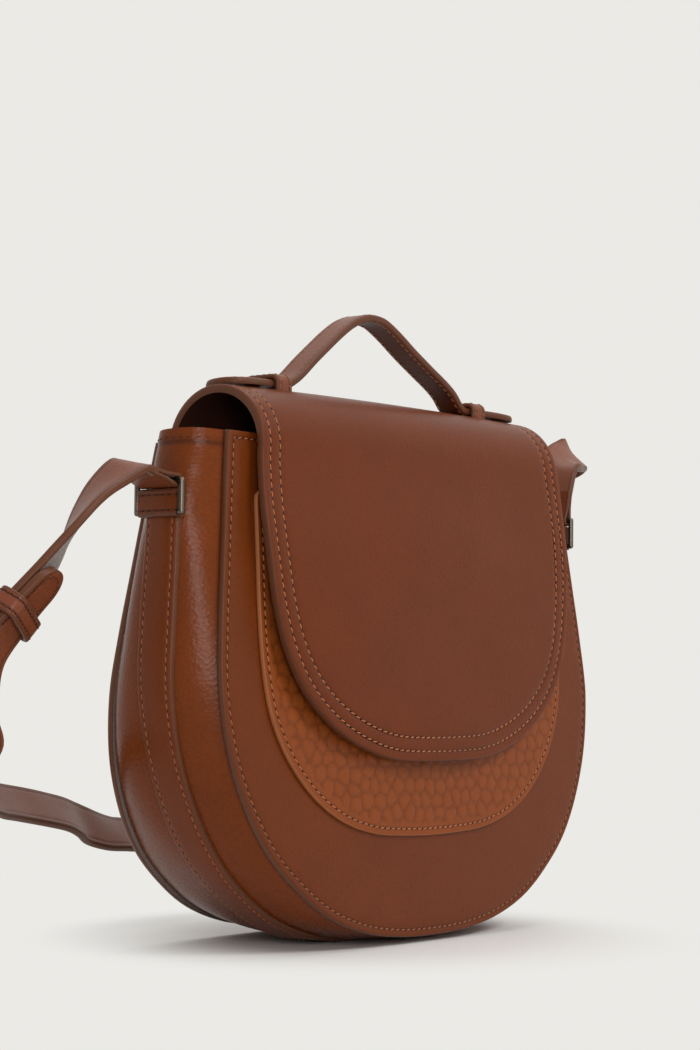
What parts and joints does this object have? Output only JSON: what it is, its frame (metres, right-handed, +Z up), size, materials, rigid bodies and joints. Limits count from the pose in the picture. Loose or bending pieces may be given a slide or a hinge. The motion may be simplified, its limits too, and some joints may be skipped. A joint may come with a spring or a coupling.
{
  "type": "saddle handbag",
  "caption": "Rounded saddle handbag: wedge body with gusset, long front flap over an arch, patch pocket, sliding top handle, side rings and a buckled shoulder strap.",
  "frame": {"origin": "on the floor under the middle of the bag's top edge; the front panel's lower edge is 28 mm in front of it and the back panel's 41 mm behind it", "axes": "+X along the width, to the right when looking at the front; the front faces -Y and +Z points up"},
  "size_m": [0.346, 0.1903, 0.2295],
  "materials": {
    "body_leather": "smooth satin",
    "gusset_leather": "smooth satin",
    "flap_leather": "smooth satin",
    "pocket_leather": "embossed satin",
    "strap_leather": "smooth satin",
    "lining": "matt woven",
    "board": "matt",
    "metal": "polished",
    "magnet": "satin"
  },
  "bodies": {
    "bag": {"front_panel": "body_leather", "back_panel": "body_leather", "gusset": "gusset_leather", "gusset_band_left": "body_leather", "gusset_band_right": "body_leather", "front_board": "board", "back_board": "board", "base_board": "board", "lining_front": "lining", "lining_back": "lining", "lining_gusset": "lining", "front_pocket": "pocket_leather", "body_magnet": "magnet", "flap_rear_strip": "flap_leather", "ring_tab_left": "body_leather", "ring_tab_right": "body_leather", "strap_short": "strap_leather", "strap_fold": "strap_leather", "strap_long": "strap_leather", "buckle_frame": "metal"},
    "flap_top": {"flap_arch": "flap_leather", "flap_arch_lining": "flap_leather", "handle_loop_left": "flap_leather", "handle_loop_right": "flap_leather", "handle_leg_left": "strap_leather", "handle_leg_right": "strap_leather"},
    "flap_front": {"flap_face": "flap_leather", "flap_face_lining": "flap_leather", "flap_magnet": "magnet"},
    "handle": {"handle_crown": "strap_leather"},
    "handle_tab_left": {"handle_tab_left": "strap_leather"},
    "handle_tab_right": {"handle_tab_right": "strap_leather"},
    "ring_left": {"ring_left": "metal", "strap_end_left": "strap_leather"},
    "ring_right": {"ring_right": "metal", "strap_end_right": "strap_leather"},
    "buckle_prong": {"buckle_prong": "metal"},
    "strap_keeper": {"strap_keeper": "strap_leather"}
  },
  "joints": [
    {"name": "flap_back_fold", "type": "hinge", "parent": "bag", "child": "flap_top", "pos_m": [0, 0.02232, 0.173], "axis": [-1, 0, 0], "range_deg": [0, 120]},
    {"name": "flap_front_fold", "type": "hinge", "parent": "flap_top", "child": "flap_front", "pos_m": [0, -0.02105, 0.173], "axis": [-1, 0, 0], "range_deg": [0, 100]},
    {"name": "handle_drop", "type": "slide", "parent": "flap_top", "child": "handle", "axis": [0, 0, -1], "range_m": [0, 0.017], "deforming": ["handle_leg_left", "handle_leg_right"]},
    {"name": "handle_tab_left_slide", "type": "slide", "parent": "flap_top", "child": "handle_tab_left", "axis": [-1, 0, 0], "range_m": [0, 0.008]},
    {"name": "handle_tab_right_slide", "type": "slide", "parent": "flap_top", "child": "handle_tab_right", "axis": [1, 0, 0], "range_m": [0, 0.008]},
    {"name": "ring_left_swing", "type": "hinge", "parent": "bag", "child": "ring_left", "pos_m": [-0.11639, 0, 0.1485], "axis": [0, -1, 0], "range_deg": [0, 70]},
    {"name": "ring_right_swing", "type": "hinge", "parent": "bag", "child": "ring_right", "pos_m": [0.11639, 0, 0.1485], "axis": [0, 1, 0], "range_deg": [0, 70]},
    {"name": "buckle_prong_lift", "type": "hinge", "parent": "bag", "child": "buckle_prong", "pos_m": [-0.183, 0.016, 0.072], "axis": [-0.9659, -0.2588, 0], "range_deg": [0, 15]},
    {"name": "keeper_slide", "type": "slide", "parent": "bag", "child": "strap_keeper", "axis": [-0.5578, 0.2625, -0.7874], "range_m": [-0.002, 0.002]}
  ],
  "couplings": [
    {"joint": "handle_tab_left_slide", "follows": "handle_drop", "ratio": 0.47059},
    {"joint": "handle_tab_right_slide", "follows": "handle_drop", "ratio": 0.47059}
  ]
}
